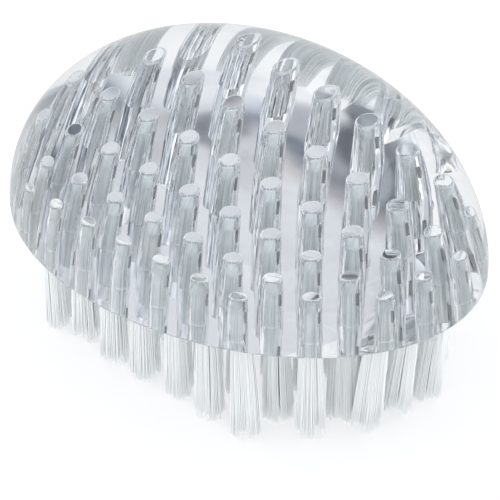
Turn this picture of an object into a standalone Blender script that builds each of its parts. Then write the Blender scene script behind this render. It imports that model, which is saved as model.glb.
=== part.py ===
"""Nail brush with a clear domed handle.

The handle is one solid half-ellipsoid of clear acrylic, flat underneath.
Sixty-five blind holes stand in its flat underside on a square grid.
Each hole holds one tuft of white nylon, folded over a small flat metal anchor.
Metres, +Z up. The tips of the bristles stand on z = 0 and +X runs along the handle.
"""

import math

import bmesh
import bpy

# Handle
HANDLE_LENGTH = 0.080
HANDLE_WIDTH = 0.060
HANDLE_HEIGHT = 0.0284
RIM_ROUND = 0.0005
DOME_RINGS = 15
DOME_SEGMENTS = 64

# Tuft grid: how many tufts stand each side of the middle one, row by row from the middle row,
# and how far the outermost ones stay inside the ends and the sides of the handle
ROW_REACH = (5, 5, 4, 3)
END_MARGIN = 0.00665
SIDE_MARGIN = 0.0100

# Blind holes, drafted so that they narrow upwards to a chamfered flat end
HOLE_DEPTH = 0.0060
HOLE_MOUTH_RADIUS = 0.00155
HOLE_DRAFT = math.radians(2.4)
HOLE_CHAMFER = 0.00032
HOLE_SIDES = 10

# Bristles
BRISTLE_LENGTH = 0.0175
STRAND_ROOT_RADIUS = 0.000375
STRAND_TIP_RADIUS = 0.0006
STRAND_SIDES = 3
OUTER_STRANDS = 6
STRAND_ROOT_CIRCLE = 0.00078
STRAND_TIP_CIRCLE = 0.0018
STRAND_BURIED = 0.0008

# Packed root of a tuft, folded over its anchor inside the hole
ROOT_GAP = 0.0003
ROOT_RECESS = 0.0004
ROOT_SIDES = 8
FOLD_THICKNESS = 0.0005
FOLD_ROUND = 0.0005

# Flat anchor, driven edge-on into the hole along X
ANCHOR_THICKNESS = 0.0003
ANCHOR_DEPTH = 0.0016
ANCHOR_MIDDLE = 0.0034
ANCHOR_GAP = 0.0001

# Where the bristles of neighbours run together: how far a leaning tip stops short of the middle
# between its two holes, and the angle by which it passes to one side of the tip that it meets
TIP_SHORT = 0.0002
TIP_ASIDE = math.radians(3)

UNDERSIDE = BRISTLE_LENGTH
COLUMN_PITCH = (HANDLE_LENGTH / 2 - END_MARGIN) / ROW_REACH[0]
ROW_PITCH = (HANDLE_WIDTH / 2 - SIDE_MARGIN) / (len(ROW_REACH) - 1)
ROW_LETTERS = "abcdefg"

# Tufts that run together, as (column, row) steps from the middle tuft
TOGETHER = (
    ((-5, -1), (-5, 0), (-5, 1)),
    ((5, -1), (5, 0), (5, 1)),
    ((-3, -3), (-2, -3)),
    ((4, -2), (4, -1)),
)


def clear_scene():
    """Remove whatever the file starts with."""
    for obj in list(bpy.data.objects):
        bpy.data.objects.remove(obj, do_unlink=True)


def make_material(name, colour, roughness, metallic=0.0, transmission=0.0):
    """One Principled material with its plain values."""
    material = bpy.data.materials.new(name)
    material.use_nodes = True
    shader = material.node_tree.nodes["Principled BSDF"]
    shader.inputs["Base Color"].default_value = (*colour, 1.0)
    shader.inputs["Roughness"].default_value = roughness
    shader.inputs["Metallic"].default_value = metallic
    shader.inputs["Transmission Weight"].default_value = transmission
    shader.inputs["IOR"].default_value = 1.49
    material.diffuse_color = (*colour, 1.0)
    return material


def place(name, mesh, location=(0.0, 0.0, 0.0)):
    """Link a mesh into the scene as a named object."""
    obj = bpy.data.objects.new(name, mesh)
    obj.location = location
    bpy.context.scene.collection.objects.link(obj)
    return obj


def mesh_from(bm, name):
    """Turn a bmesh into a mesh with its faces pointing out."""
    bmesh.ops.recalc_face_normals(bm, faces=bm.faces)
    mesh = bpy.data.meshes.new(name)
    bm.to_mesh(mesh)
    bm.free()
    return mesh


def ring(bm, centre, radius, sides, turn=0.0):
    """A level polygon of vertices round a centre."""
    points = []
    for step in range(sides):
        angle = turn + 2.0 * math.pi * step / sides
        x = centre[0] + radius * math.cos(angle)
        y = centre[1] + radius * math.sin(angle)
        points.append(bm.verts.new((x, y, centre[2])))
    return points


def loft(bm, rings):
    """Skin a stack of equal rings and close both ends."""
    for lower, upper in zip(rings, rings[1:]):
        count = len(lower)
        for i in range(count):
            j = (i + 1) % count
            bm.faces.new((lower[i], lower[j], upper[j], upper[i]))
    bm.faces.new(rings[0][::-1])
    bm.faces.new(rings[-1])


def hole_radius(height):
    """Radius of a hole at a height above its mouth."""
    return HOLE_MOUTH_RADIUS - height * math.tan(HOLE_DRAFT)


def tuft_grid():
    """The middle of each tuft, keyed by its (column, row) step."""
    grid = {}
    for row in range(1 - len(ROW_REACH), len(ROW_REACH)):
        reach = ROW_REACH[abs(row)]
        for column in range(-reach, reach + 1):
            grid[column, row] = (column * COLUMN_PITCH, row * ROW_PITCH)
    return grid


def tuft_name(step):
    """Rows run from a at the front to g at the back, columns from 1 to 11 along the length."""
    column, row = step
    return f"{ROW_LETTERS[row + 3]}_{column + ROW_REACH[0] + 1:02d}"


def handle_mesh():
    """Turn a quarter ellipse with a rounded rim about Z, then narrow it to the handle's width."""
    bm = bmesh.new()
    half = HANDLE_LENGTH / 2
    profile = []
    for step in range(DOME_RINGS + 1):
        angle = math.pi / 2 * (1 - step / DOME_RINGS)
        z = RIM_ROUND + (HANDLE_HEIGHT - RIM_ROUND) * math.sin(angle)
        profile.append(bm.verts.new((half * math.cos(angle), 0.0, z)))
    for angle in (math.radians(45), math.radians(90)):
        x = half - RIM_ROUND * (1 - math.cos(angle))
        profile.append(bm.verts.new((x, 0.0, RIM_ROUND * (1 - math.sin(angle)))))
    edges = [bm.edges.new(pair) for pair in zip(profile, profile[1:])]
    bmesh.ops.spin(
        bm,
        geom=profile + edges,
        cent=(0.0, 0.0, 0.0),
        axis=(0.0, 0.0, 1.0),
        dvec=(0.0, 0.0, 0.0),
        angle=2.0 * math.pi,
        steps=DOME_SEGMENTS,
        use_merge=True,
        use_duplicate=False,
    )
    bmesh.ops.remove_doubles(bm, verts=bm.verts, dist=0.00001)
    bmesh.ops.dissolve_degenerate(bm, dist=0.00001, edges=bm.edges)
    open_edges = [edge for edge in bm.edges if edge.is_boundary]
    bmesh.ops.holes_fill(bm, edges=open_edges, sides=0)
    bmesh.ops.scale(bm, vec=(1.0, HANDLE_WIDTH / HANDLE_LENGTH, 1.0), verts=bm.verts)
    return mesh_from(bm, "handle")


def hole_cutters(grid):
    """One drafted plug for each hole, running a little below the underside so that it cuts through."""
    bm = bmesh.new()
    below = 0.001
    shoulder = HOLE_DEPTH - HOLE_CHAMFER
    for x, y in grid.values():
        levels = (
            (-below, hole_radius(-below)),
            (shoulder, hole_radius(shoulder)),
            (HOLE_DEPTH, hole_radius(shoulder) - HOLE_CHAMFER),
        )
        turn = math.pi / HOLE_SIDES
        loft(bm, [ring(bm, (x, y, z), radius, HOLE_SIDES, turn) for z, radius in levels])
    return mesh_from(bm, "hole_cutters")


def make_handle(grid, material):
    """The clear handle with all its blind holes."""
    handle = place("handle", handle_mesh(), (0.0, 0.0, UNDERSIDE))
    handle.data.materials.append(material)
    cutters = place("hole_cutters", hole_cutters(grid), (0.0, 0.0, UNDERSIDE))
    cutters.hide_render = True
    cutters.display_type = "WIRE"
    cut = handle.modifiers.new("holes", "BOOLEAN")
    cut.operation = "DIFFERENCE"
    cut.solver = "EXACT"
    cut.object = cutters
    handle.data.shade_smooth()
    handle.data.set_sharp_from_angle(angle=math.radians(35))
    return handle


def root_body(x, y):
    """The packed root of a tuft: it follows the hole with a gap and rounds over above the anchor."""
    bm = bmesh.new()
    top = ANCHOR_MIDDLE + ANCHOR_DEPTH / 2 + FOLD_THICKNESS
    levels = (
        (ROOT_RECESS, hole_radius(ROOT_RECESS) - ROOT_GAP),
        (top - FOLD_ROUND, hole_radius(top) - ROOT_GAP),
        (top, hole_radius(top) - ROOT_GAP - FOLD_ROUND),
    )
    turn = math.pi / ROOT_SIDES
    rings = [ring(bm, (x, y, UNDERSIDE + z), radius, ROOT_SIDES, turn) for z, radius in levels]
    loft(bm, rings)
    return mesh_from(bm, "root")


def anchor_body(x, y):
    """The flat anchor: a thin strip on edge along X, as long as the hole is wide, less its clearance."""
    bm = bmesh.new()
    bmesh.ops.create_cube(bm, size=1.0)
    narrowest = hole_radius(ANCHOR_MIDDLE + ANCHOR_DEPTH / 2) * math.cos(math.pi / HOLE_SIDES)
    length = 2.0 * (narrowest - ANCHOR_GAP)
    bmesh.ops.scale(bm, vec=(length, ANCHOR_THICKNESS, ANCHOR_DEPTH), verts=bm.verts)
    bmesh.ops.translate(bm, vec=(x, y, UNDERSIDE + ANCHOR_MIDDLE), verts=bm.verts)
    return mesh_from(bm, "anchor")


def strands_body(x, y, turn, leaning, pitch):
    """Seven strands that splay from the root to flat-cut tips on z = 0.

    Strand k of the outer six stands at turn + 60 degrees times k. One that is in
    leaning bends out further, so that its tip meets the neighbour's halfway along the pitch.
    """
    bm = bmesh.new()
    start = UNDERSIDE + ROOT_RECESS + STRAND_BURIED
    strands = [(turn + math.pi / OUTER_STRANDS, 0.0, 0.0, 0.0, 0.0)]
    for k in range(OUTER_STRANDS):
        angle = turn + 2.0 * math.pi * k / OUTER_STRANDS
        tip_circle = STRAND_TIP_CIRCLE
        tip_angle = angle
        if k in leaning:
            tip_circle = pitch / 2 - TIP_SHORT
            tip_angle = angle + TIP_ASIDE
        strands.append((angle + math.pi, tip_circle, tip_angle, STRAND_ROOT_CIRCLE, angle))
    for face, tip_circle, tip_angle, root_circle, root_angle in strands:
        rings = []
        for z, circle, angle, radius in (
            (0.0, tip_circle, tip_angle, STRAND_TIP_RADIUS),
            (start, root_circle, root_angle, STRAND_ROOT_RADIUS),
        ):
            centre = (x + circle * math.cos(angle), y + circle * math.sin(angle), z)
            rings.append(ring(bm, centre, radius, STRAND_SIDES, face))
        loft(bm, rings)
    return mesh_from(bm, "strands")


def fuse(meshes, name):
    """Union several closed meshes into one closed mesh."""
    bodies = [place(f"{name}_body_{i}", mesh) for i, mesh in enumerate(meshes)]
    for body in bodies[1:]:
        union = bodies[0].modifiers.new("union", "BOOLEAN")
        union.operation = "UNION"
        union.solver = "EXACT"
        union.object = body
    bpy.context.view_layer.update()
    depsgraph = bpy.context.evaluated_depsgraph_get()
    fused = bpy.data.meshes.new_from_object(bodies[0].evaluated_get(depsgraph))
    for body in bodies:
        bpy.data.objects.remove(body, do_unlink=True)
    fused.name = name
    bm = bmesh.new()
    bm.from_mesh(fused)
    bmesh.ops.dissolve_limit(bm, angle_limit=math.radians(0.5), verts=bm.verts, edges=bm.edges)
    bm.to_mesh(fused)
    bm.free()
    return fused


def tuft_bodies(x, y, turn=0.0, leaning=(), pitch=COLUMN_PITCH):
    """The three bodies that make one tuft with its anchor."""
    return [root_body(x, y), anchor_body(x, y), strands_body(x, y, turn, leaning, pitch)]


def finish(mesh, material):
    """Give a tuft its material and its shading."""
    mesh.materials.clear()
    mesh.materials.append(material)
    mesh.shade_smooth()
    mesh.set_sharp_from_angle(angle=math.radians(50))
    return mesh


def group_mesh(steps, grid, name):
    """Neighbouring tufts fused where their facing strands run together at the tips."""
    along_y = steps[0][0] == steps[1][0]
    turn = math.radians(30) if along_y else 0.0
    ahead, behind = (1, 4) if along_y else (0, 3)
    pitch = ROW_PITCH if along_y else COLUMN_PITCH
    meshes = []
    for i, step in enumerate(steps):
        leaning = set()
        if i + 1 < len(steps):
            leaning.add(ahead)
        if i > 0:
            leaning.add(behind)
        x0, y0 = grid[steps[0]]
        x, y = grid[step]
        meshes += tuft_bodies(x - x0, y - y0, turn, leaning, pitch)
    return fuse(meshes, name)


def make_tufts(grid, material):
    """Every tuft, alone or in its group, placed at its own hole."""
    single = finish(fuse(tuft_bodies(0.0, 0.0), "tuft"), material)
    grouped = {step for steps in TOGETHER for step in steps}
    for step, (x, y) in grid.items():
        if step not in grouped:
            place("tuft_" + tuft_name(step), single, (x, y, 0.0))
    for steps in TOGETHER:
        name = "tufts_" + "_".join(tuft_name(step) for step in steps)
        mesh = finish(group_mesh(steps, grid, name), material)
        x, y = grid[steps[0]]
        place(name, mesh, (x, y, 0.0))


def build():
    """Make the whole brush."""
    clear_scene()
    clear_acrylic = make_material("clear_acrylic", (0.93, 0.95, 0.97), 0.03, transmission=1.0)
    white_nylon = make_material("white_nylon", (0.86, 0.88, 0.90), 0.45)
    grid = tuft_grid()
    make_handle(grid, clear_acrylic)
    make_tufts(grid, white_nylon)
    print("tufts:", len(grid), "strands:", len(grid) * (OUTER_STRANDS + 1))


build()
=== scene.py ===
"""The looks of the nail brush.

A clear acrylic handle, white nylon tufts in its holes, metal anchors, the table and the room.
"""

import math

import bpy
import numpy as np
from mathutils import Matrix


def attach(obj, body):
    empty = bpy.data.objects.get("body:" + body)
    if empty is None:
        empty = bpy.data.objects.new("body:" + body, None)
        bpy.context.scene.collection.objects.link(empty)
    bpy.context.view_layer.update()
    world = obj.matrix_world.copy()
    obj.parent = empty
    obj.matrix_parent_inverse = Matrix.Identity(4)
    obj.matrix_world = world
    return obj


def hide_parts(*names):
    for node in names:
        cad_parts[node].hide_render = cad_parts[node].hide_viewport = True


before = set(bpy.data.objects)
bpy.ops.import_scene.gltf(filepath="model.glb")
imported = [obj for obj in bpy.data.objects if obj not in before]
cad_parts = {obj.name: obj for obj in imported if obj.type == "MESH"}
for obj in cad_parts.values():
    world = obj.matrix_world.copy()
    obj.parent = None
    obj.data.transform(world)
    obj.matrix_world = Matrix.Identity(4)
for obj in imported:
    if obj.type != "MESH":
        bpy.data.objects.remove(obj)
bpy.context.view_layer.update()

# Sizes of the brush, in metres, as in the solids
HALF_LENGTH, HALF_WIDTH, DOME_HEIGHT = 0.040, 0.030, 0.0284
RIM_ROUND = 0.0005
BRISTLE_LENGTH = 0.0175
COLUMN_PITCH, ROW_PITCH = 0.00667, 0.02 / 3
# How many columns a row reaches to each side, from the middle row outwards
ROW_REACH = (5, 5, 4, 3)
HOLE_DEPTH = 0.0060
HOLE_MOUTH_RADIUS = 0.00155
HOLE_DRAFT = math.radians(2.4)
HOLE_SHOULDER = 0.00032
ANCHOR_THICKNESS, ANCHOR_DEPTH, ANCHOR_MIDDLE = 0.0003, 0.0016, 0.0034
# How far an anchor's ends go into the wall, the round of its corners, how far its long edges are drawn
# in and the share of its thickness between them
ANCHOR_BITE, ANCHOR_CORNER, ANCHOR_EDGE, ANCHOR_FLAT = 0.00012, 0.00012, 0.00004, 0.7

# Facets of the round surfaces: rings from the pole down, rings of the rim, and sides
DOME_RINGS, RIM_RINGS, DOME_SIDES = 56, 5, 192
SHOULDER_RINGS, HOLE_SIDES = 5, 36
CORNER_POINTS = 4
FILAMENT_SIDES = 4
# How far the shapes that cut the holes stand out below the underside
PLUG_BELOW = 0.001
# Faces that meet at more than this angle have a sharp edge, and the flat ends and the underside are
# the faces whose normals have more of Z than this
SHARP_ANGLE = math.radians(40)
FLAT_NORMAL = 0.9999
# How much farther than its radius a hole's wall may lie from its axis
WALL_MARGIN = 0.00001

# Every tuft's random draws have a seed of their own: the middle tuft's, and its steps along and across
FIRST_SEED, COLUMN_SEED, ROW_SEED = 1000, 37, 7
# A tuft: its filament ends and their radius, and how many radii they keep from the wall of the hole
FILAMENTS = 440
FILAMENT_RADIUS = 0.00007
WALL_RADII = 1.2
GOLDEN_ANGLE = 2.39996
# How many times wider it is at its tips and how unevenly, how much shorter an end is as a rule and at
# most, and how far one strays and waves
TIP_SPREAD = 1.5
TIP_SPREAD_UNEVEN = 0.015
TIP_UNEVEN = 0.0003
MOST_SHORT = 0.0022
SWAY = 0.00004
# Its clumps of ends: how many, how far they lie from its middle as a share of the hole's radius, how
# much shorter one is and how far it leans
CLUMPS = 9
CLUMP_SCATTER = 0.55
CLUMP_UNEVEN = 0.0009
CLUMP_LEAN = 0.0001
# How far a whole tuft leans by chance, how far for each step to the middle of the tufts that it runs
# together with, and how far the right end's lean back
TUFT_LEAN = 0.00025
GROUP_LEAN = 0.0009
END_LEAN = (0.0014, 0.0006)
# The places along a filament: on each leg, from tip to mouth, as the share of the drop from the mouth,
# then one beside the anchor, and over it as the share of half a turn
LEG_DROPS = (1.0, 0.66, 0.33, 0.0)
LEG_BEND = 0.8
FOLD_TURNS = (0.0, 0.5, 1.0)
PATH_PLACES = 2 * (len(LEG_DROPS) + 1) + len(FOLD_TURNS)
# The share of their place that the ends keep beside the anchor, and how far the fold rises over it:
# a length and a share of the way out
FOLD_SQUEEZE = 0.93
FOLD_RISE, FOLD_RISE_SHARE = 0.0001, 0.3
# The shade of a filament below the mouth, as the darkest and what chance adds to it, and at each place
# along it the share of chance that it keeps in the hole, where 0 marks the places below the mouth. In
# the hole this is painted shade: darker streaks that stand in for the light and dark lines seen
# through the handle. Over the fold, at 0.4, it is darker still, as painted shade against the light on
# its top
SHADE_BELOW, SHADE_CHANCE = 0.7, 0.3
PAINTED_SHADE_IN_HOLE = (0, 0, 0, 1, 1, 0.4, 0.4, 0.4, 1, 1, 0, 0, 0)

# What the clear handle shows of the room: one tone and patches laid over it one after the other, each
# with the azimuth and elevation of its middle, how far it reaches and how softly it ends, all in
# degrees, and its colour
ROOM_TONE = (0.66, 0.69, 0.72)
PATCHES = (
    (-135, 15, 75, 30, (0.57, 0.61, 0.65)),
    (0, 30, 60, 25, (0.58, 0.61, 0.64)),
    (143, 18, 34, 14, (0.72, 0.735, 0.775)),
    (106, 6, 9, 4, (0.44, 0.47, 0.50)),
    (150, 62, 16, 8, (0.90, 0.91, 0.93)),
    (129, 38, 9, 5, (0.56, 0.59, 0.62)),
    (101, 30, 5, 2.5, (0.13, 0.15, 0.18)),
    (112, 46, 5, 2.5, (0.46, 0.49, 0.53)),
    (174, 37, 11, 8, (0.13, 0.15, 0.18)),
    (162, 40, 7, 6, (0.34, 0.37, 0.42)),
    (-152, 20, 10, 4, (0.78, 0.81, 0.84)),
    (-122, 24, 9, 4, (0.68, 0.71, 0.74)),
    (-138, 42, 8, 4, (0.36, 0.39, 0.44)),
    (-96, 35, 12, 4, (0.44, 0.47, 0.51)),
    (-68, 26, 9, 4, (0.90, 0.92, 0.94)),
    (50, 30, 10, 6, (0.44, 0.47, 0.51)),
    (-118, 4, 6, 3, (0.74, 0.70, 0.84)),
    (-110, 12, 5, 3, (0.90, 0.87, 0.76)),
    (0, 90, 22, 12, (0.95, 0.96, 0.98)),
    (-27, 36, 4, 2, (0.08, 0.09, 0.12)),
    (-138, 50, 5, 2, (0.16, 0.17, 0.20)),
    (-117, 47, 5, 2, (0.11, 0.12, 0.15)),
    (-99, 44, 4, 2, (0.09, 0.10, 0.13)),
    (-82, 43, 4, 2, (0.13, 0.14, 0.17)),
    (-55, 41, 5, 2, (0.20, 0.22, 0.25)),
    (-70, 27, 3, 2, (0.20, 0.22, 0.25)),
    (-104, 22, 4, 2, (1.7, 1.7, 1.7)),
    (-158, 40, 4, 2, (0.66, 0.68, 0.71)),
    (-75, 38, 4, 2, (0.50, 0.53, 0.57)),
    (-76, 18, 6, 3, (1.2, 1.2, 1.2)),
    (5, 42, 5, 2, (1.5, 1.5, 1.5)),
)
# A darker band across it: the direction square to it, and the share of the room's tone that is left
# at each place from 0, against that direction, to 1, along it
BAND_AXIS = (0.248, -0.736, 0.630)
BAND = (
    (0.42, (1.0, 1.0, 1.0)),
    (0.45, (0.88, 0.84, 0.80)),
    (0.485, (0.40, 0.42, 0.46)),
    (0.51, (0.31, 0.34, 0.39)),
    (0.54, (0.62, 0.68, 0.77)),
    (0.565, (1.0, 1.0, 1.0)),
)
# Patches laid over the band
OVER_BAND = (
    (130, 59, 12, 4, (0.80, 0.83, 0.86)),
    (131, 32, 8, 4, (0.75, 0.77, 0.80)),
    (141, 39.5, 5, 2.5, (0.57, 0.58, 0.61)),
    (124, 40, 4, 2, (0.58, 0.60, 0.63)),
    (165, 52, 6, 3, (0.90, 0.91, 0.93)),
    (183, 20, 9, 4, (0.62, 0.65, 0.69)),
    (136, 43.3, 2.8, 1.6, (0.24, 0.25, 0.28)),
    (140, 45, 2.4, 1.4, (0.24, 0.25, 0.28)),
    (152.5, 46.5, 3, 1.5, (0.44, 0.46, 0.50)),
    (158, 45, 4, 2, (0.42, 0.44, 0.48)),
    (167, 45.5, 3, 2, (0.62, 0.64, 0.67)),
    (161, 38.5, 3.5, 2, (0.32, 0.34, 0.38)),
    (168, 32, 3.5, 2, (0.34, 0.36, 0.40)),
    (167.5, 39.5, 4.6, 2, (0.11, 0.12, 0.145)),
    (178, 42, 5, 2.5, (0.13, 0.14, 0.17)),
    (177, 28, 4, 2.5, (0.16, 0.17, 0.20)),
    (171, 34, 4, 2, (0.34, 0.37, 0.40)),
    (177.5, 27, 3, 1.5, (0.19, 0.21, 0.24)),
    (181, 13, 4, 2, (0.50, 0.53, 0.55)),
)
# The side where the room is more cluttered, the noise's scale, the stretch of it that is used and the
# shares of the room's tone that this gives, and the cosines between which the clutter begins
CLUTTER_AXIS = (0.17, -0.97, 0.10)
CLUTTER_SCALE = 6.0
CLUTTER_NOISE = (0.38, 0.62)
CLUTTER_SHARES = (0.2, 1.75)
CLUTTER_START = (-0.3, 0.2)
# The light that the room throws on what isn't clear, and how much more of it comes in through the
# handle, where it stands in for the lamps, whose own light doesn't pass
LIGHT_TONE = (1.04, 1.06, 1.075)
THROUGH_HANDLE = 0.56
# The table top's own light for each kind of ray
TABLE_GLOW = (
    ("Is Camera Ray", 0.45),
    ("Is Glossy Ray", 0.1),
    ("Is Transmission Ray", 0.32),
    ("Is Diffuse Ray", 0.7),
)
# The soft lamps: their width, the height that they are turned to, and the place in metres and power in
# watts of each
LAMP_WIDTH, LAMP_AIM = 0.7, 0.02
SOFTBOXES = (
    ("left_softbox", (-0.75, -0.55, 0.38), 1.5),
    ("right_softbox", (0.45, -0.85, 0.38), 0.2),
    ("back_softbox", (0.1, 0.95, 0.38), 0.8),
)

# The view that fits the outline of the handle in the photograph: its angles in degrees, its distance,
# how far the middle of the picture is to the right of and above the middle of the underside, and the
# lens in the picture's own pixels
VIEW_AZIMUTH, VIEW_ELEVATION = 45.16, 31.35
VIEW_DISTANCE = 0.300
VIEW_RIGHT, VIEW_UP = 0.00112, -0.00375
FOCAL_PIXELS, PICTURE_PIXELS = 2020.4, 500
SENSOR_WIDTH = 36.0

# A Mix node's colour sockets by number, because its sockets for other kinds of value share their names
MIX_UNDER, MIX_OVER, MIX_RESULT = 6, 7, 2

# Tufts that run together at their tips, as (column, row) steps from the middle tuft
TOGETHER = (
    ((-5, -1), (-5, 0), (-5, 1)),
    ((5, -1), (5, 0), (5, 1)),
    ((-3, -3), (-2, -3)),
    ((4, -2), (4, -1)),
)


def mesh_object(name, points, faces):
    """A mesh from an array of points and arrays of faces, one array for each number of corners."""
    mesh = bpy.data.meshes.new(name)
    corners = np.concatenate([f.ravel() for f in faces])
    counts = np.concatenate([np.full(len(f), f.shape[1]) for f in faces])
    starts = np.concatenate([[0], np.cumsum(counts)[:-1]])
    mesh.vertices.add(len(points))
    mesh.vertices.foreach_set("co", np.asarray(points, np.float32).ravel())
    mesh.loops.add(len(corners))
    mesh.loops.foreach_set("vertex_index", corners.astype(np.int32))
    mesh.polygons.add(len(counts))
    mesh.polygons.foreach_set("loop_start", starts.astype(np.int32))
    mesh.update(calc_edges=True)
    mesh.validate()
    obj = bpy.data.objects.new(name, mesh)
    bpy.context.scene.collection.objects.link(obj)
    return obj


def grid_faces(rows, columns, first=0):
    """Quads between the rings of a grid whose columns close round."""
    i, j = np.meshgrid(np.arange(rows - 1), np.arange(columns), indexing="ij")
    k = (j + 1) % columns
    near, far = i * columns, (i + 1) * columns
    quads = np.stack([near + j, near + k, far + k, far + j], -1)
    return first + quads.reshape(-1, 4)


def turned(profile, sides):
    """A profile of radii and heights turned about Z: x is radius times cos a, y radius times sin a."""
    angle = 2 * np.pi * np.arange(sides) / sides
    radius, height = np.asarray(profile).T
    x = radius[:, None] * np.cos(angle)
    y = radius[:, None] * np.sin(angle)
    z = np.broadcast_to(height[:, None], x.shape)
    return np.stack([x, y, z], -1)


def hole_radius(height):
    """A hole narrows by its draft as it rises from its mouth."""
    return HOLE_MOUTH_RADIUS - height * math.tan(HOLE_DRAFT)


def tuft_steps():
    """Every tuft as a (column, row) step from the middle one."""
    rows = range(1 - len(ROW_REACH), len(ROW_REACH))
    return [(c, r) for r in rows for c in range(-ROW_REACH[abs(r)], ROW_REACH[abs(r)] + 1)]


def mouth_of(step):
    """The middle of a tuft's hole, in the flat underside."""
    return np.array([step[0] * COLUMN_PITCH, step[1] * ROW_PITCH, BRISTLE_LENGTH])


def tuft_name(step):
    """Rows run from a at the front to g at the back, columns from 01 to 11 along the length."""
    return f"{'abcdefg'[step[1] + 3]}_{step[0] + 6:02d}"


def dome():
    """A half-ellipsoid with a rounded rim, closed underneath by one flat face.

    The profile is a quarter ellipse from the pole to the rim, then a quarter circle
    of the rim's radius, turned about Z and narrowed in Y to the handle's width.
    """
    fall = np.linspace(0, np.pi / 2, DOME_RINGS + 1)[1:]
    height = RIM_ROUND + (DOME_HEIGHT - RIM_ROUND) * np.cos(fall)
    side = np.stack([HALF_LENGTH * np.sin(fall), height], 1)
    turn = np.linspace(0, np.pi / 2, RIM_RINGS + 1)[1:]
    rim = np.stack([HALF_LENGTH - RIM_ROUND * (1 - np.cos(turn)), RIM_ROUND * (1 - np.sin(turn))], 1)
    rings = turned(np.concatenate([side, rim]), DOME_SIDES)
    rings[..., 1] *= HALF_WIDTH / HALF_LENGTH
    rings[..., 2] += BRISTLE_LENGTH
    count = len(rings)
    points = np.concatenate([rings.reshape(-1, 3), [[0, 0, BRISTLE_LENGTH + DOME_HEIGHT]]])
    pole = len(points) - 1
    j = np.arange(DOME_SIDES)
    cap = np.stack([np.full(DOME_SIDES, pole), j, (j + 1) % DOME_SIDES], 1)
    skin = grid_faces(count, DOME_SIDES)[:, ::-1]
    base = ((count - 1) * DOME_SIDES + j[::-1])[None, :]
    return mesh_object("clear_handle", points, [cap, skin, base])


def hole_plugs(steps):
    """The space of every hole: its drafted profile with a rounded shoulder, turned about its axis."""
    turn = np.linspace(0, np.pi / 2, SHOULDER_RINGS)
    top = hole_radius(HOLE_DEPTH)
    shoulder_radius = top - HOLE_SHOULDER + HOLE_SHOULDER * np.cos(turn)
    shoulder_height = HOLE_DEPTH - HOLE_SHOULDER + HOLE_SHOULDER * np.sin(turn)
    profile = [(hole_radius(-PLUG_BELOW), -PLUG_BELOW)] + list(zip(shoulder_radius, shoulder_height))
    rings = turned(profile, HOLE_SIDES)
    count = len(rings)
    points, skins, floors = [], [], []
    for n, step in enumerate(steps):
        first = n * count * HOLE_SIDES
        points.append(rings.reshape(-1, 3) + mouth_of(step))
        skins.append(grid_faces(count, HOLE_SIDES, first))
        floors.append(first + np.arange(HOLE_SIDES)[::-1])
        floors.append(first + (count - 1) * HOLE_SIDES + np.arange(HOLE_SIDES))
    faces = [np.concatenate(skins), np.array(floors)]
    return mesh_object("hole_plugs", np.concatenate(points), faces)


def clear_handle(steps, material):
    """The dome with every hole cut out of its flat underside.

    It is smooth all over but for the flat faces, and the faces of the holes' walls
    are marked, so that the material can score them.
    """
    handle = dome()
    plugs = hole_plugs(steps)
    cut = handle.modifiers.new("holes", "BOOLEAN")
    cut.operation, cut.solver, cut.object = "DIFFERENCE", "EXACT", plugs
    bpy.context.view_layer.update()
    depsgraph = bpy.context.evaluated_depsgraph_get()
    mesh = bpy.data.meshes.new_from_object(handle.evaluated_get(depsgraph))
    handle.modifiers.clear()
    handle.data = mesh
    bpy.data.objects.remove(plugs, do_unlink=True)
    mesh.shade_smooth()
    mesh.set_sharp_from_angle(angle=SHARP_ANGLE)
    normals = np.empty(len(mesh.polygons) * 3)
    mesh.polygons.foreach_get("normal", normals)
    smooth = np.abs(normals.reshape(-1, 3)[:, 2]) < FLAT_NORMAL
    mesh.polygons.foreach_set("use_smooth", smooth)
    middles = np.empty(len(mesh.polygons) * 3)
    mesh.polygons.foreach_get("center", middles)
    x, y, z = middles.reshape(-1, 3).T
    mouths = [mouth_of(step) for step in steps]
    away = np.min([np.hypot(x - mouth[0], y - mouth[1]) for mouth in mouths], 0)
    wall = smooth & (away < HOLE_MOUTH_RADIUS + WALL_MARGIN) & (z < BRISTLE_LENGTH + HOLE_DEPTH)
    attribute = mesh.attributes.new("hole_wall", "FLOAT", "FACE")
    attribute.data.foreach_set("value", wall.astype(np.float32))
    mesh.materials.clear()
    mesh.materials.append(material)
    return handle


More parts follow.
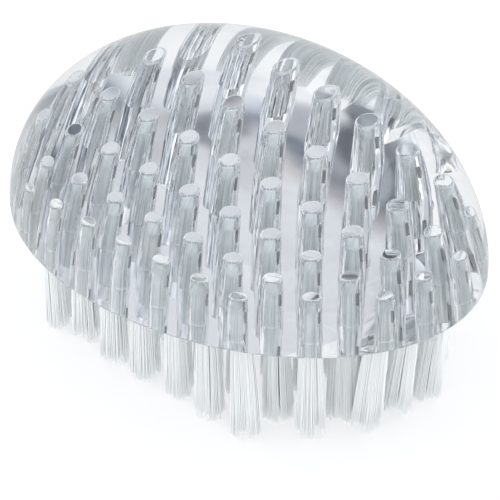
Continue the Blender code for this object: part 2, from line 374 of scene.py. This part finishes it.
def folded_filaments(step, aim):
    """The paths of one tuft's filaments, folded in two over the anchor, and a chance value for each.

    The ends fill a disc as a sunflower's seeds do: end n lies at the root of n
    times the golden angle. The half with y above 0 goes up, over the anchor and
    down its other side. Below the mouth an end bends outwards: its place is the
    root's place plus the way to the tip times the drop to the power LEG_BEND. Ends
    near one of a few points on the disc form a clump, and share a length and a
    lean. The fold is half an ellipse over the anchor's upper edge.
    """
    rng = np.random.default_rng(FIRST_SEED + COLUMN_SEED * step[0] + ROW_SEED * step[1])
    n = np.arange(FILAMENTS)
    spin = rng.uniform(0, 2 * np.pi)
    radius = (HOLE_MOUTH_RADIUS - WALL_RADII * FILAMENT_RADIUS) * np.sqrt((n + 0.5) / FILAMENTS)
    angle = GOLDEN_ANGLE * n + spin
    x, y = radius * np.cos(angle), radius * np.sin(angle)
    x, y = x[y > 0], y[y > 0]
    count = len(x)

    # How far out from the anchor each filament passes it, and how high
    clear = ANCHOR_THICKNESS / 2 + FILAMENT_RADIUS
    inside = clear + y * (1 - clear / HOLE_MOUTH_RADIUS) * FOLD_SQUEEZE
    narrow = hole_radius(ANCHOR_MIDDLE) / HOLE_MOUTH_RADIUS
    top = ANCHOR_MIDDLE + ANCHOR_DEPTH / 2 + FILAMENT_RADIUS

    clump_at = rng.normal(0, CLUMP_SCATTER * HOLE_MOUTH_RADIUS, (CLUMPS, 2))
    clump_short = np.abs(rng.normal(0, CLUMP_UNEVEN, CLUMPS))
    clump_lean = rng.normal(0, CLUMP_LEAN, (CLUMPS, 2)) + rng.normal(0, TUFT_LEAN, 2)
    paths = np.zeros((count, PATH_PLACES, 3))
    leg = np.arange(len(LEG_DROPS))
    last = PATH_PLACES - 1
    for side, places, beside in ((1, leg, len(leg)), (-1, last - leg, last - len(leg))):
        apart = np.hypot(x[:, None] - clump_at[:, 0], side * y[:, None] - clump_at[:, 1])
        clump = apart.argmin(1)
        stray_x, stray_y = rng.normal(0, SWAY, (2, count)) + clump_lean[clump].T
        tip_x = x * TIP_SPREAD * rng.normal(1, TIP_SPREAD_UNEVEN, count) + stray_x + aim[0]
        tip_y = side * y * TIP_SPREAD * rng.normal(1, TIP_SPREAD_UNEVEN, count) + stray_y + aim[1]
        short = clump_short[clump] + np.abs(rng.normal(0, TIP_UNEVEN, count))
        length = BRISTLE_LENGTH - np.minimum(short, MOST_SHORT)
        wave = rng.normal(0, SWAY, (count, 2))
        for drop, place in zip(LEG_DROPS, places):
            bend = drop**LEG_BEND
            swing = math.sin(math.pi * drop)
            paths[:, place, 0] = x + (tip_x - x) * bend + wave[:, 0] * swing
            paths[:, place, 1] = side * y + (tip_y - side * y) * bend + wave[:, 1] * swing
            paths[:, place, 2] = BRISTLE_LENGTH - length * drop
        height = np.full(count, BRISTLE_LENGTH + ANCHOR_MIDDLE)
        paths[:, beside] = np.stack([x * narrow, side * inside * narrow, height], 1)
    for place, turn in enumerate(FOLD_TURNS, len(leg) + 1):
        across = math.cos(math.pi * turn)
        rise = (FOLD_RISE + FOLD_RISE_SHARE * inside) * math.sin(math.pi * turn)
        height = BRISTLE_LENGTH + top + rise
        paths[:, place] = np.stack([x * narrow, inside * narrow * across, height], 1)
    paths[:, :, :2] += mouth_of(step)[:2]
    return paths, rng.uniform(0, 1, count)


def tubes(paths, radius, sides):
    """A round tube along each path.

    A point is the path's plus radius times cos a across it and radius times sin a
    square to both.
    """
    along = np.gradient(paths, axis=1)
    along /= np.linalg.norm(along, axis=2, keepdims=True)
    across = np.array([1.0, 0.0, 0.0]) - along[..., :1] * along
    across /= np.linalg.norm(across, axis=2, keepdims=True)
    square = np.cross(along, across)
    angle = 2 * np.pi * np.arange(sides) / sides
    return (
        paths[:, :, None]
        + radius * np.cos(angle)[:, None] * across[:, :, None]
        + radius * np.sin(angle)[:, None] * square[:, :, None]
    )


def tuft(node, steps, aims, material):
    """The filaments of one tuft, or of tufts that run together, with the shade along each: a random
    tone below the mouth, and painted shade in the hole and over the fold.
    """
    sides = FILAMENT_SIDES
    made = [folded_filaments(step, aim) for step, aim in zip(steps, aims)]
    paths = np.concatenate([paths for paths, _ in made])
    shade = np.concatenate([shade for _, shade in made])
    points = tubes(paths, FILAMENT_RADIUS, sides)
    count, rings = points.shape[:2]
    one = grid_faces(rings, sides)
    first = np.arange(count) * rings * sides
    skin = (first[:, None, None] + one).reshape(-1, 4)
    start = first[:, None] + np.arange(sides)[::-1]
    end = first[:, None] + (rings - 1) * sides + np.arange(sides)
    piece = mesh_object(node + "_bristles", points.reshape(-1, 3), [skin, start, end])
    piece.data.shade_smooth()
    attribute = piece.data.attributes.new("filament_tone_and_painted_shade", "FLOAT", "POINT")
    chance = shade[:, None]
    # Painted shade: in the hole the filaments are darkened at random into streaks, and over the fold
    # more
    kept = np.array(PAINTED_SHADE_IN_HOLE)
    shade = np.where(kept > 0, chance * kept, SHADE_BELOW + SHADE_CHANCE * chance)
    attribute.data.foreach_set("value", np.repeat(shade.ravel(), sides).astype(np.float32))
    piece.data.materials.append(material)
    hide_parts(node)
    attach(piece, "root")


def anchor(step, material):
    """A flat strip on edge along X, with its ends in the walls of its hole.

    Its outline is a rectangle with rounded corners, and its section is the same
    strip with its long edges drawn in.
    """
    half = hole_radius(ANCHOR_MIDDLE) + ANCHOR_BITE
    turn = np.linspace(0, np.pi / 2, CORNER_POINTS)
    quarter = np.stack([np.cos(turn), np.sin(turn)], 1) * ANCHOR_CORNER
    outline = []
    for sx, sz, order in ((1, 1, 1), (-1, 1, -1), (-1, -1, 1), (1, -1, -1)):
        part = quarter[::order] + [half - ANCHOR_CORNER, ANCHOR_DEPTH / 2 - ANCHOR_CORNER]
        outline.append(part * [sx, sz])
    outline = np.concatenate(outline)
    count = len(outline)
    rings = []
    section = ((-1, ANCHOR_EDGE), (-ANCHOR_FLAT, 0), (ANCHOR_FLAT, 0), (1, ANCHOR_EDGE))
    for y, draw in section:
        flat = outline * (1 - draw / np.abs(outline).max(0))
        depth = np.full(count, y * ANCHOR_THICKNESS / 2)
        rings.append(np.stack([flat[:, 0], depth, flat[:, 1]], 1))
    points = np.concatenate(rings) + (mouth_of(step) + [0, 0, ANCHOR_MIDDLE])
    skin = grid_faces(len(section), count)[:, ::-1]
    front = np.arange(count)[None]
    back = (len(section) - 1) * count + np.arange(count)[::-1][None]
    piece = mesh_object("anchor_" + tuft_name(step), points, [skin, front, back])
    piece.data.materials.append(material)
    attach(piece, "root")


def nodes_of(material):
    """The nodes and the links of a material."""
    return material.node_tree.nodes, material.node_tree.links


def unevenness_group():
    """A faint unevenness over a surface, for every material.

    Its value is a slow swell times a fine mottle, and its height is the swell.
    """
    group = bpy.data.node_groups.new("unevenness", "ShaderNodeTree")
    face = group.interface
    face.new_socket("Vector", in_out="INPUT", socket_type="NodeSocketVector")
    face.new_socket("Swell Scale", in_out="INPUT", socket_type="NodeSocketFloat")
    face.new_socket("Mottle Scale", in_out="INPUT", socket_type="NodeSocketFloat")
    face.new_socket("Value", in_out="OUTPUT", socket_type="NodeSocketFloat")
    face.new_socket("Height", in_out="OUTPUT", socket_type="NodeSocketFloat")
    nodes, links = group.nodes, group.links
    source = nodes.new("NodeGroupInput")
    result = nodes.new("NodeGroupOutput")
    swell = nodes.new("ShaderNodeTexNoise")
    swell.inputs["Detail"].default_value = 1.0
    mottle = nodes.new("ShaderNodeTexNoise")
    mottle.inputs["Detail"].default_value = 4.0
    both = nodes.new("ShaderNodeMath")
    both.operation = "MULTIPLY"
    links.new(source.outputs["Vector"], swell.inputs["Vector"])
    links.new(source.outputs["Vector"], mottle.inputs["Vector"])
    links.new(source.outputs["Swell Scale"], swell.inputs["Scale"])
    links.new(source.outputs["Mottle Scale"], mottle.inputs["Scale"])
    links.new(swell.outputs["Fac"], both.inputs[0])
    links.new(mottle.outputs["Fac"], both.inputs[1])
    links.new(both.outputs["Value"], result.inputs["Value"])
    links.new(swell.outputs["Fac"], result.inputs["Height"])
    return group


def with_unevenness(material, group, swell, mottle):
    """Place the group in a material, read from Object coordinates."""
    nodes, links = nodes_of(material)
    where = nodes.new("ShaderNodeTexCoord")
    uneven = nodes.new("ShaderNodeGroup")
    uneven.node_tree = group
    uneven.inputs["Swell Scale"].default_value = swell
    uneven.inputs["Mottle Scale"].default_value = mottle
    links.new(where.outputs["Object"], uneven.inputs["Vector"])
    return uneven


def mapped(material, value, low, high):
    """A value from 0 to 1 mapped between low and high."""
    nodes, links = nodes_of(material)
    node = nodes.new("ShaderNodeMapRange")
    node.inputs["To Min"].default_value = low
    node.inputs["To Max"].default_value = high
    links.new(value, node.inputs["Value"])
    return node.outputs["Result"]


def clear_acrylic(group):
    """Polished clear acrylic: the faint swell of a moulding, a little haze, and scored hole walls."""
    material = bpy.data.materials.new("clear_acrylic")
    material.use_nodes = True
    nodes, links = nodes_of(material)
    shader = nodes["Principled BSDF"]
    shader.inputs["Base Color"].default_value = (0.965, 0.982, 1.0, 1.0)
    shader.inputs["Transmission Weight"].default_value = 1.0
    shader.inputs["IOR"].default_value = 1.49
    uneven = with_unevenness(material, group, swell=90.0, mottle=900.0)
    haze = mapped(material, uneven.outputs["Value"], low=0.0, high=0.03)
    links.new(haze, shader.inputs["Roughness"])
    bump = nodes.new("ShaderNodeBump")
    bump.inputs["Strength"].default_value = 0.05
    bump.inputs["Distance"].default_value = 0.0004
    links.new(uneven.outputs["Height"], bump.inputs["Height"])

    # Fine marks on the walls of the holes, drawn out along them
    wall = nodes.new("ShaderNodeAttribute")
    wall.attribute_name = "hole_wall"
    where = nodes.new("ShaderNodeTexCoord")
    drawn = nodes.new("ShaderNodeVectorMath")
    drawn.operation = "MULTIPLY"
    drawn.inputs[1].default_value = (1.0, 1.0, 0.12)
    marks = nodes.new("ShaderNodeTexNoise")
    marks.inputs["Scale"].default_value = 2600.0
    marks.inputs["Detail"].default_value = 1.0
    scored = nodes.new("ShaderNodeBump")
    scored.inputs["Distance"].default_value = 0.00004
    links.new(where.outputs["Object"], drawn.inputs[0])
    links.new(drawn.outputs["Vector"], marks.inputs["Vector"])
    links.new(marks.outputs["Fac"], scored.inputs["Height"])
    links.new(wall.outputs["Fac"], scored.inputs["Strength"])
    links.new(bump.outputs["Normal"], scored.inputs["Normal"])
    links.new(scored.outputs["Normal"], shader.inputs["Normal"])
    return material


def white_nylon(group):
    """White nylon filament, each one a little lighter or darker than the next, with painted shade in
    streaks in the holes and over the folds.
    """
    material = bpy.data.materials.new("white_nylon")
    material.use_nodes = True
    nodes, links = nodes_of(material)
    shader = nodes["Principled BSDF"]
    shade = nodes.new("ShaderNodeAttribute")
    shade.attribute_name = "filament_tone_and_painted_shade"
    ramp = nodes.new("ShaderNodeValToRGB")
    # The darkest end is reached only in the holes and over the folds, as painted shade
    ramp.color_ramp.elements[0].color = (0.62, 0.655, 0.66, 1.0)
    ramp.color_ramp.elements[1].color = (0.97, 0.985, 0.99, 1.0)
    ramp.color_ramp.elements.new(0.7).color = (0.95, 0.97, 0.975, 1.0)
    links.new(shade.outputs["Fac"], ramp.inputs["Fac"])
    links.new(ramp.outputs["Color"], shader.inputs["Base Color"])
    uneven = with_unevenness(material, group, swell=400.0, mottle=3000.0)
    rough = mapped(material, uneven.outputs["Value"], low=0.5, high=0.75)
    links.new(rough, shader.inputs["Roughness"])
    return material


def anchor_metal(group):
    """Dull drawn strip: greyish metal with uneven shine."""
    material = bpy.data.materials.new("anchor_metal")
    material.use_nodes = True
    nodes, links = nodes_of(material)
    shader = nodes["Principled BSDF"]
    shader.inputs["Base Color"].default_value = (0.42, 0.42, 0.43, 1.0)
    shader.inputs["Metallic"].default_value = 1.0
    uneven = with_unevenness(material, group, swell=800.0, mottle=6000.0)
    rough = mapped(material, uneven.outputs["Value"], low=0.25, high=0.6)
    links.new(rough, shader.inputs["Roughness"])
    return material


def maths(nodes, links, operation, first, second, third=None):
    """A Math node of numbers and of values from other nodes."""
    node = nodes.new("ShaderNodeMath")
    node.operation = operation
    for socket, value in zip(node.inputs, (first, second, third)):
        if isinstance(value, bpy.types.NodeSocket):
            links.new(value, socket)
        elif value is not None:
            socket.default_value = value
    return node.outputs["Value"]


def table_white():
    """A white table top, with a little light of its own for each kind of ray. It keeps the shadow."""
    material = bpy.data.materials.new("table_white")
    material.use_nodes = True
    nodes, links = nodes_of(material)
    shader = nodes["Principled BSDF"]
    shader.inputs["Base Color"].default_value = (0.58, 0.58, 0.58, 1.0)
    shader.inputs["Roughness"].default_value = 0.9
    shader.inputs["Specular IOR Level"].default_value = 0.0
    path = nodes.new("ShaderNodeLightPath")
    strength = None
    for ray, amount in TABLE_GLOW:
        part = maths(nodes, links, "MULTIPLY", path.outputs[ray], amount)
        strength = maths(nodes, links, "MAXIMUM", strength, part) if strength else part
    glow = nodes.new("ShaderNodeEmission")
    total = nodes.new("ShaderNodeAddShader")
    links.new(strength, glow.inputs["Strength"])
    links.new(shader.outputs["BSDF"], total.inputs[0])
    links.new(glow.outputs["Emission"], total.inputs[1])
    links.new(total.outputs["Shader"], nodes["Material Output"].inputs["Surface"])
    return material


def table():
    """One flat square, as the place to stand on."""
    size = 3.0
    points = np.array([[-size, -size, 0], [size, -size, 0], [size, size, 0], [-size, size, 0]])
    top = mesh_object("table_top", points, [np.array([[0, 1, 2, 3]])])
    top.data.materials.append(table_white())


def cosine_to(nodes, links, looking, axis):
    """The cosine of the angle between where a ray looks and an axis."""
    node = nodes.new("ShaderNodeVectorMath")
    node.operation = "DOT_PRODUCT"
    node.inputs[1].default_value = axis
    links.new(looking, node.inputs[0])
    return node.outputs["Value"]


def patches_over(nodes, links, looking, under, patches):
    """Soft round patches of colour, one over the other on what is under them, or on the room's tone.

    A patch's share is a smooth step on the cosine of the angle between where a ray
    looks and the patch's middle.
    """
    for azimuth, elevation, reach, soft, tone in patches:
        turn, rise = math.radians(azimuth), math.radians(elevation)
        middle = (math.cos(turn) * math.cos(rise), math.sin(turn) * math.cos(rise), math.sin(rise))
        within = nodes.new("ShaderNodeMapRange")
        within.interpolation_type = "SMOOTHSTEP"
        within.inputs["From Min"].default_value = math.cos(math.radians(reach + soft))
        within.inputs["From Max"].default_value = math.cos(math.radians(max(reach - soft, 0)))
        links.new(cosine_to(nodes, links, looking, middle), within.inputs["Value"])
        lay = nodes.new("ShaderNodeMix")
        lay.data_type = "RGBA"
        lay.inputs[MIX_UNDER].default_value = (*ROOM_TONE, 1.0)
        lay.inputs[MIX_OVER].default_value = (*tone, 1.0)
        links.new(within.outputs["Result"], lay.inputs["Factor"])
        if under:
            links.new(under, lay.inputs[MIX_UNDER])
        under = lay.outputs[MIX_RESULT]
    return under


def band_share(nodes, links, looking):
    """What the darker band lets through: a colour ramp on the cosine to the band's axis."""
    spread = nodes.new("ShaderNodeMapRange")
    spread.inputs["From Min"].default_value = -1.0
    links.new(cosine_to(nodes, links, looking, BAND_AXIS), spread.inputs["Value"])
    ramp = nodes.new("ShaderNodeValToRGB")
    ramp.color_ramp.interpolation = "EASE"
    for end in ramp.color_ramp.elements:
        end.color = (1.0, 1.0, 1.0, 1.0)
    for place, tone in BAND:
        ramp.color_ramp.elements.new(place).color = (*tone, 1.0)
    links.new(spread.outputs["Result"], ramp.inputs["Fac"])
    return ramp.outputs["Color"]


def clutter_share(nodes, links, looking):
    """Lighter and darker things on the cluttered side as a share of the room's tone, 1 elsewhere."""
    clutter = nodes.new("ShaderNodeTexNoise")
    clutter.inputs["Scale"].default_value = CLUTTER_SCALE
    clutter.inputs["Detail"].default_value = 2.0
    links.new(looking, clutter.inputs["Vector"])
    depth = nodes.new("ShaderNodeMapRange")
    depth.inputs["From Min"].default_value, depth.inputs["From Max"].default_value = CLUTTER_NOISE
    depth.inputs["To Min"].default_value, depth.inputs["To Max"].default_value = CLUTTER_SHARES
    links.new(clutter.outputs["Fac"], depth.inputs["Value"])
    side = nodes.new("ShaderNodeMapRange")
    side.interpolation_type = "SMOOTHSTEP"
    side.inputs["From Min"].default_value, side.inputs["From Max"].default_value = CLUTTER_START
    side.inputs["To Min"].default_value = 1.0
    links.new(cosine_to(nodes, links, looking, CLUTTER_AXIS), side.inputs["Value"])
    links.new(depth.outputs["Result"], side.inputs["To Max"])
    return side.outputs["Result"]


def surround():
    """The room round the table.

    Clear and shiny things show the patches, the band over them, more patches and the
    clutter. Light that has already met a dull surface comes from one plain tone, and
    more of it comes in through the handle.
    """
    world = bpy.data.worlds.new("surround")
    bpy.context.scene.world = world
    world.use_nodes = True
    nodes, links = world.node_tree.nodes, world.node_tree.links
    looking = nodes.new("ShaderNodeTexCoord").outputs["Generated"]
    band = nodes.new("ShaderNodeVectorMath")
    band.operation = "MULTIPLY"
    links.new(patches_over(nodes, links, looking, None, PATCHES), band.inputs[0])
    links.new(band_share(nodes, links, looking), band.inputs[1])
    room = nodes.new("ShaderNodeVectorMath")
    room.operation = "SCALE"
    patched = patches_over(nodes, links, looking, band.outputs["Vector"], OVER_BAND)
    links.new(patched, room.inputs[0])
    links.new(clutter_share(nodes, links, looking), room.inputs["Scale"])
    path = nodes.new("ShaderNodeLightPath")
    dull = maths(nodes, links, "GREATER_THAN", path.outputs["Diffuse Depth"], 0.5)
    either = nodes.new("ShaderNodeMix")
    either.data_type = "RGBA"
    either.inputs[MIX_OVER].default_value = (*LIGHT_TONE, 1.0)
    links.new(dull, either.inputs["Factor"])
    links.new(room.outputs["Vector"], either.inputs[MIX_UNDER])
    through = maths(nodes, links, "MULTIPLY", path.outputs["Is Transmission Ray"], dull)
    strength = maths(nodes, links, "MULTIPLY_ADD", through, THROUGH_HANDLE, 1.0)
    links.new(either.outputs[MIX_RESULT], nodes["Background"].inputs["Color"])
    links.new(strength, nodes["Background"].inputs["Strength"])


def softboxes():
    """Three faint soft lamps turned towards the brush, which clear and shiny things don't show."""
    for name, place, energy in SOFTBOXES:
        lamp = bpy.data.lights.new(name, "AREA")
        lamp.size = LAMP_WIDTH
        lamp.energy = energy
        obj = bpy.data.objects.new(name, lamp)
        bpy.context.scene.collection.objects.link(obj)
        obj.location = place
        obj.visible_glossy = False
        obj.visible_transmission = False
        x, y, z = np.array(place) - [0, 0, LAMP_AIM]
        obj.rotation_euler = (math.atan2(math.hypot(x, y), z), 0, math.atan2(y, x) + math.pi / 2)


def camera():
    """The photograph's view. Right, back and up are the camera's own directions."""
    azimuth, elevation = math.radians(VIEW_AZIMUTH), math.radians(VIEW_ELEVATION)
    level = math.cos(elevation)
    right = np.array([math.cos(azimuth), math.sin(azimuth), 0])
    back = np.array([math.sin(azimuth) * level, -math.cos(azimuth) * level, math.sin(elevation)])
    up = np.cross(back, right)
    aim = np.array([0, 0, BRISTLE_LENGTH]) + right * VIEW_RIGHT + up * VIEW_UP
    lens = bpy.data.cameras.new("camera")
    lens.sensor_width = SENSOR_WIDTH
    lens.lens = FOCAL_PIXELS / PICTURE_PIXELS * SENSOR_WIDTH
    lens.clip_start = 0.01
    obj = bpy.data.objects.new("camera", lens)
    bpy.context.scene.collection.objects.link(obj)
    obj.location = aim + back * VIEW_DISTANCE
    obj.rotation_euler = (math.pi / 2 - elevation, 0, azimuth)
    bpy.context.scene.camera = obj


def lean_of(step, group):
    """How far a tuft's tips lean towards the neighbours that they run together with."""
    middle = np.mean(group, axis=0)
    lean = (middle - step) * GROUP_LEAN
    if step[0] == max(ROW_REACH):
        lean = lean - END_LEAN
    return lean


def main():
    """Every piece on the brush's one body, then the table, the room, the lamps and the camera."""
    uneven = unevenness_group()
    acrylic, nylon, metal = clear_acrylic(uneven), white_nylon(uneven), anchor_metal(uneven)
    steps = tuft_steps()
    handle = clear_handle(steps, acrylic)
    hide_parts("handle")
    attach(handle, "root")
    grouped = {step for group in TOGETHER for step in group}
    for step in steps:
        anchor(step, metal)
        if step not in grouped:
            tuft("tuft_" + tuft_name(step), [step], [(0.0, 0.0)], nylon)
    for group in TOGETHER:
        name = "tufts_" + "_".join(tuft_name(step) for step in group)
        tuft(name, group, [lean_of(step, group) for step in group], nylon)
    table()
    surround()
    softboxes()
    camera()
    bpy.context.scene.view_settings.view_transform = "Standard"
    # A ray passes many surfaces of the handle and its holes
    light = bpy.context.scene.cycles
    light.max_bounces = 32
    light.diffuse_bounces = 16
    light.glossy_bounces = 16
    light.transmission_bounces = 32


main()
